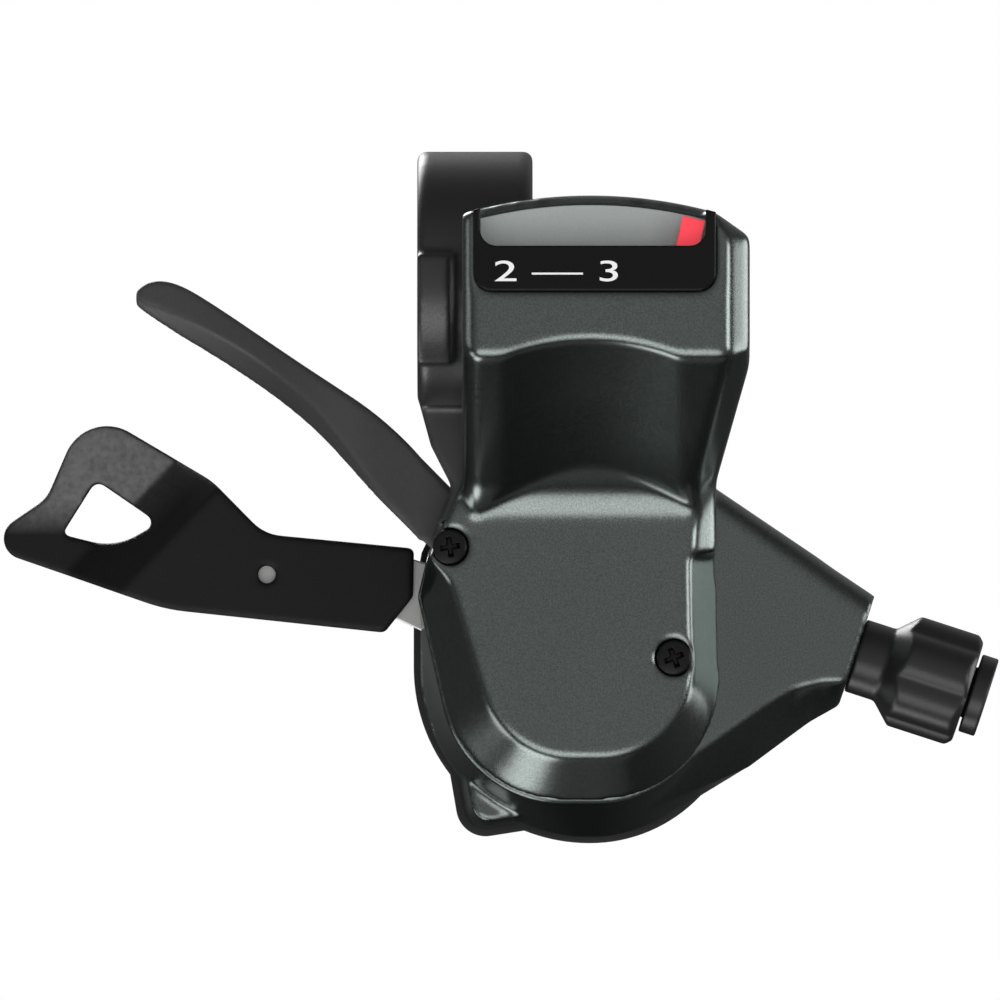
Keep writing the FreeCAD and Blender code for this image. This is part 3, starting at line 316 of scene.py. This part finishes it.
# copy of a solid's mesh with its doubles merged and its flat faces joined
def mergedCopy(node):
    mesh = nodes[node].data.copy()
    shape = bmesh.new()
    shape.from_mesh(mesh)
    bmesh.ops.remove_doubles(shape, verts=shape.verts, dist=merging["gap"])
    bmesh.ops.dissolve_limit(
        shape, angle_limit=merging["flatAngle"], verts=shape.verts, edges=shape.edges, delimit=set())
    shape.to_mesh(mesh)
    shape.free()
    mesh.name = node + "_soft"
    mesh.shade_smooth()
    return linkMesh(node + "_soft", mesh)


bevels = {"angle": math.radians(28), "segments": 3}
bevelWidths = {
    "rear_cover": 0.3 * mm,
    "display_bezel": 0.15 * mm,
    "main_lever_plate": 0.15 * mm,
    "adjuster_bolt": 0.2 * mm,
    "clamp_bolt": 0.25 * mm,
    "clamp_nut": 0.2 * mm,
    "rear_cover_screws": 0.15 * mm,
    "display_back_cover": 0.15 * mm,
}


# a machined solid: each sharp edge gets a small rounded bevel
def bevelledCopy(node, width):
    piece = mergedCopy(node)
    piece.data.set_sharp_from_angle(angle=bevels["angle"])
    bevel = piece.modifiers.new("soft edges", "BEVEL")
    bevel.width = width
    bevel.segments = bevels["segments"]
    bevel.limit_method = "ANGLE"
    bevel.angle_limit = bevels["angle"]
    bevel.harden_normals = True
    return adopt(piece, node)


# size of the net's cells, and how often it is smoothed
moulds = {
    "top_cover": (0.35 * mm, 24),
    "main_housing": (0.35 * mm, 5),
    "clamp_bracket": (0.35 * mm, 6),
    "main_lever_pad": (0.22 * mm, 10),
    "release_lever": (0.22 * mm, 8),
    "adjuster_knob": (0.18 * mm, 6),
}


# a moulded solid: an even net of cells over its surface, then smoothed so that every edge goes round
def mouldedCopy(node, cell, rounds):
    piece = mergedCopy(node)
    net = piece.modifiers.new("even net", "REMESH")
    net.mode = "VOXEL"
    net.voxel_size = cell
    net.use_smooth_shade = True
    smooth = piece.modifiers.new("round edges", "SMOOTH")
    smooth.factor = 0.5
    smooth.iterations = rounds
    return adopt(piece, node)


for node, width in bevelWidths.items():
    bevelledCopy(node, width)
for node, (cell, rounds) in moulds.items():
    mouldedCopy(node, cell, rounds)
print("soft copies made:", len(bevelWidths) + len(moulds))

poleGap = 0.0001 * mm


# surface from a grid of points, each row a closed ring; a row that lies in one point closes that end
def gridMesh(name, points):
    rows, columns = points.shape[:2]
    index = np.arange(rows * columns).reshape(rows, columns)
    lower, upper = index[:-1], index[1:]
    quads = np.stack([lower, np.roll(lower, -1, axis=1), np.roll(upper, -1, axis=1), upper], axis=-1)
    mesh = bpy.data.meshes.new(name)
    mesh.from_pydata(points.reshape(-1, 3).tolist(), [], quads.reshape(-1, 4).tolist())
    shape = bmesh.new()
    shape.from_mesh(mesh)
    bmesh.ops.remove_doubles(shape, verts=shape.verts, dist=poleGap)
    bmesh.ops.recalc_face_normals(shape, faces=shape.faces)
    shape.to_mesh(mesh)
    shape.free()
    mesh.shade_smooth()
    return linkMesh(name, mesh)


# in mm, turns in degrees; slot: half its width; apart: the least gap between two screws
crossScrew = {
    "headRadius": 1.9, "headHeight": 1.3, "dome": 0.18, "chamfer": 0.12, "shank": 1.1,
    "wing": 1.15, "wingRamp": 0.35, "slot": 0.3, "slotRamp": 0.08, "depth": 0.85,
    "fineReach": 1.4, "fineRings": 40, "ringGap": 0.05, "outerRings": 6, "sides": 128,
    "turns": (8.0, 22.0), "apart": 2.0, "sharp": math.radians(40),
}


# head height = dome - recess; the recess is two crossed slots with sloped walls
def makeScrew(name, centre, seat, tip, turn):
    head, tall = crossScrew["headRadius"], crossScrew["headHeight"]
    chamfer, shank, sides = crossScrew["chamfer"], crossScrew["shank"], crossScrew["sides"]
    angle = np.linspace(0, 2 * np.pi, sides, endpoint=False)
    fine = np.linspace(0, crossScrew["fineReach"], crossScrew["fineRings"])
    outer = np.linspace(fine[-1] + crossScrew["ringGap"], head - chamfer, crossScrew["outerRings"])
    radius = np.concatenate([fine, outer])[:, None]
    across = np.abs(radius * np.cos(angle - math.radians(turn)))
    upright = np.abs(radius * np.sin(angle - math.radians(turn)))
    sideways = (crossScrew["slot"] - np.minimum(across, upright)) / crossScrew["slotRamp"]
    endways = (crossScrew["wing"] - np.maximum(across, upright)) / crossScrew["wingRamp"]
    recess = crossScrew["depth"] * np.clip(np.minimum(sideways, endways), 0, 1)
    height = tall + crossScrew["dome"] * (1 - (radius / head) ** 2) - recess
    # below the dome: rim, underside and shank, one ring for each corner of the profile
    profile = np.array([(head, tall - chamfer), (head, 0), (shank, 0), (shank, -tip), (0, -tip)])
    lowRadius, lowHeight = [np.repeat(column[:, None], sides, axis=1) for column in profile.T]
    allRadius = np.concatenate([np.broadcast_to(radius, height.shape), lowRadius])
    allHeight = np.concatenate([height, lowHeight])
    points = np.stack([
        centre[0] + mm * allRadius * np.cos(angle),
        seat - mm * allHeight,
        centre[1] + mm * allRadius * np.sin(angle),
    ], axis=-1)
    return gridMesh(name, points)


def joinPieces(name, pieces):
    shape = bmesh.new()
    for piece in pieces:
        shape.from_mesh(piece.data)
        bpy.data.objects.remove(piece)
    mesh = bpy.data.meshes.new(name)
    shape.to_mesh(mesh)
    shape.free()
    mesh.shade_smooth()
    mesh.set_sharp_from_angle(angle=crossScrew["sharp"])
    return linkMesh(name, mesh)


def cornersOf(mesh):
    flat = np.empty(3 * len(mesh.vertices))
    mesh.vertices.foreach_get("co", flat)
    return flat.reshape(-1, 3)


# middle of each separate screw in a node: its corners are split where x jumps
def screwCentres(node):
    corners = cornersOf(nodes[node].data)
    corners = corners[np.argsort(corners[:, 0])]
    jumps = np.nonzero(np.diff(corners[:, 0]) > crossScrew["apart"] * mm)[0] + 1
    return [(group.min(0) + group.max(0)) / 2 for group in np.split(corners, jumps)]


def makeCoverScrews():
    low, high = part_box("cover_screws")
    seat = low.y + crossScrew["headHeight"] * mm
    tip = (high.y - seat) / mm
    screws = []
    for place, turn in zip(screwCentres("cover_screws"), crossScrew["turns"]):
        screws.append(makeScrew("screw", (place[0], place[2]), seat, tip, turn))
    return adopt(joinPieces("cover_screws_cross", screws), "cover_screws")


makeCoverScrews()
print("cover screws made")

# places in mm; lift: how far the print stands in front of the bezel
marks = {
    "text": "2 — 3", "slot": "dial_silver", "left": 2.2, "width": 13.6, "base": -0.45, "height": 2.3,
    "lift": 0.03,
}


# plain numerals on the bezel: flat letters stood up to face the rider and stretched to the print's place
def makeMarks():
    curve = bpy.data.curves.new("marks", "FONT")
    curve.body = marks["text"]
    letters = linkMesh("letters", curve)
    graph = bpy.context.evaluated_depsgraph_get()
    mesh = bpy.data.meshes.new_from_object(letters.evaluated_get(graph))
    bpy.data.objects.remove(letters)
    flat = cornersOf(mesh)[:, :2]
    share = (flat - flat.min(0)) / np.ptp(flat, axis=0)
    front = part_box("display_bezel")[0].y
    points = np.stack([
        mm * (marks["left"] + marks["width"] * share[:, 0]),
        np.full(len(flat), front - mm * marks["lift"]),
        mm * (marks["base"] + marks["height"] * share[:, 1]),
    ], axis=-1)
    mesh.vertices.foreach_set("co", points.ravel())
    mesh.materials.clear()
    mesh.materials.append(materials["print_white"])
    piece = linkMesh("display_marks", mesh)
    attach(piece, bodyOf["display_bezel"])


makeMarks()
print("marks made")

for name, node in nodes.items():
    node.data.materials.clear()
    node.data.materials.append(materials[slotOf[name]])
print("solids painted:", len(nodes))

view = {"lens": 1500.0, "sensor": 36.0, "width": 111.1 * mm, "centre": (2.78 * mm, -24.6 * mm), "clipEnd": 20}


# camera in front of the display, as far off as a long lens asks for
def makeCamera():
    data = bpy.data.cameras.new("camera")
    data.lens = view["lens"]
    data.sensor_width = view["sensor"]
    data.clip_end = view["clipEnd"]
    camera = bpy.data.objects.new("camera", data)
    distance = view["width"] * view["lens"] / view["sensor"]
    camera.location = (view["centre"][0], -distance, view["centre"][1])
    camera.rotation_euler = (math.radians(90), 0, 0)
    bpy.context.scene.collection.objects.link(camera)
    bpy.context.scene.camera = camera


# metres and watts
lamps = {
    "below": {"place": (-0.08, -0.66, -0.5), "size": (0.55, 0.5), "power": 1.5},
    "under": {"place": (-0.24, 0.02, -0.65), "size": (0.32, 0.32), "power": 0.9},
    "lowLeft": {"place": (-0.55, -0.06, -0.5), "size": (0.35, 0.35), "power": 0.7},
    "right": {"place": (0.74, 0.2, -0.06), "size": (0.5, 0.5), "power": 2.0},
    "rightFront": {"place": (0.64, -0.48, -0.04), "size": (0.3, 0.3), "power": 1.1},
    "left": {"place": (-0.75, -0.12, -0.03), "size": (0.3, 0.3), "power": 0.22},
    "behind": {"place": (-0.3, 0.6, 0.4), "size": (0.5, 0.5), "power": 4.0},
}


# soft round lamps, all turned to the middle of the view
def makeLamps():
    target = Vector((view["centre"][0], 0, view["centre"][1]))
    for name, lamp in lamps.items():
        data = bpy.data.lights.new(name, "AREA")
        data.shape = "ELLIPSE"
        data.size, data.size_y = lamp["size"]
        data.energy = lamp["power"]
        light = bpy.data.objects.new(name, data)
        light.location = lamp["place"]
        light.rotation_euler = (target - light.location).to_track_quat("-Z", "Y").to_euler()
        bpy.context.scene.collection.objects.link(light)


# ambient: on dull surfaces; the rest is what a reflection sees in each direction
world = {
    "ambient": 0.75, "front": 0.42, "focus": 3.0, "right": 0.1, "left": 0.08, "back": 0.35, "lift": 0.25,
    "up": 0.05, "dark": 0.01,
}


# white to the eye and through glass; a reflection sees a lit room in front, weak light at the sides
# and above, and light behind that grows with height
def makeWorld():
    scene = bpy.context.scene
    scene.world = bpy.data.worlds.new("studio")
    scene.world.use_nodes = True
    tree = scene.world.node_tree
    tree.nodes.clear()
    start = Wire(tree)
    direction = start.node("TexCoord", out="Generated")
    across, away, upward = [direction.axis(letter) for letter in "XYZ"]
    front = (-1.0 * away).atLeast(0.0) ** world["focus"]
    sides = world["right"] * across.atLeast(0.0) + world["left"] * (-1.0 * across).atLeast(0.0)
    behind = away.atLeast(0.0) * (upward + world["lift"]).atLeast(0.0)
    seen = world["dark"] + world["front"] * front + sides + world["back"] * behind
    seen = seen + world["up"] * upward.atLeast(0.0)
    camera = start.node("LightPath", out="Is Camera Ray")
    glossy = start.node("LightPath", out="Is Glossy Ray")
    through = start.node("LightPath", out="Is Transmission Ray")
    shown = (camera + through).atMost(1.0)
    strength = shown + (1 - shown) * (glossy * seen + (1 - glossy) * world["ambient"])
    back = start.node("Background", {}, {"Color": (1, 1, 1, 1), "Strength": strength})
    start.node("OutputWorld", {}, {"Surface": back})


# drop: how far it lies below the bar, under the lowest lamp; lit: its tone in reflections
floor = {
    "drop": 0.8, "radius": 0.3, "rings": 12, "sides": 96, "dark": (0.86, 0.86, 0.855, 1),
    "light": (0.92, 0.92, 0.915, 1), "cloud": 300, "lit": (0.12, 0.12, 0.12, 1), "roughness": 0.8,
}


# disc = radius times a circle; pale to the eye at any level of light
def makeFloor():
    angle = np.linspace(0, 2 * np.pi, floor["sides"], endpoint=False)
    radius = np.linspace(0, floor["radius"], floor["rings"])[:, None]
    points = np.stack([
        view["centre"][0] + radius * np.cos(angle),
        radius * np.sin(angle),
        np.full((floor["rings"], floor["sides"]), -floor["drop"]),
    ], axis=-1)
    disc = gridMesh("floor", points)
    material, start = newMaterial("pale floor")
    tone = start.mix(start.noise(floor["cloud"]), floor["dark"], floor["light"])
    lit = start.node("BsdfPrincipled", {}, {"Base Color": floor["lit"], "Roughness": floor["roughness"]})
    shown = start.node("Emission", {}, {"Color": tone, "Strength": 1.0})
    camera = start.node("LightPath", out="Is Camera Ray")
    surface = start.node("MixShader", {}, {0: camera, 1: lit, 2: shown})
    start.node("OutputMaterial", {}, {"Surface": surface})
    disc.data.materials.append(material)


makeCamera()
makeLamps()
makeWorld()
makeFloor()
bpy.context.scene.view_settings.view_transform = "Standard"
print("stage set")
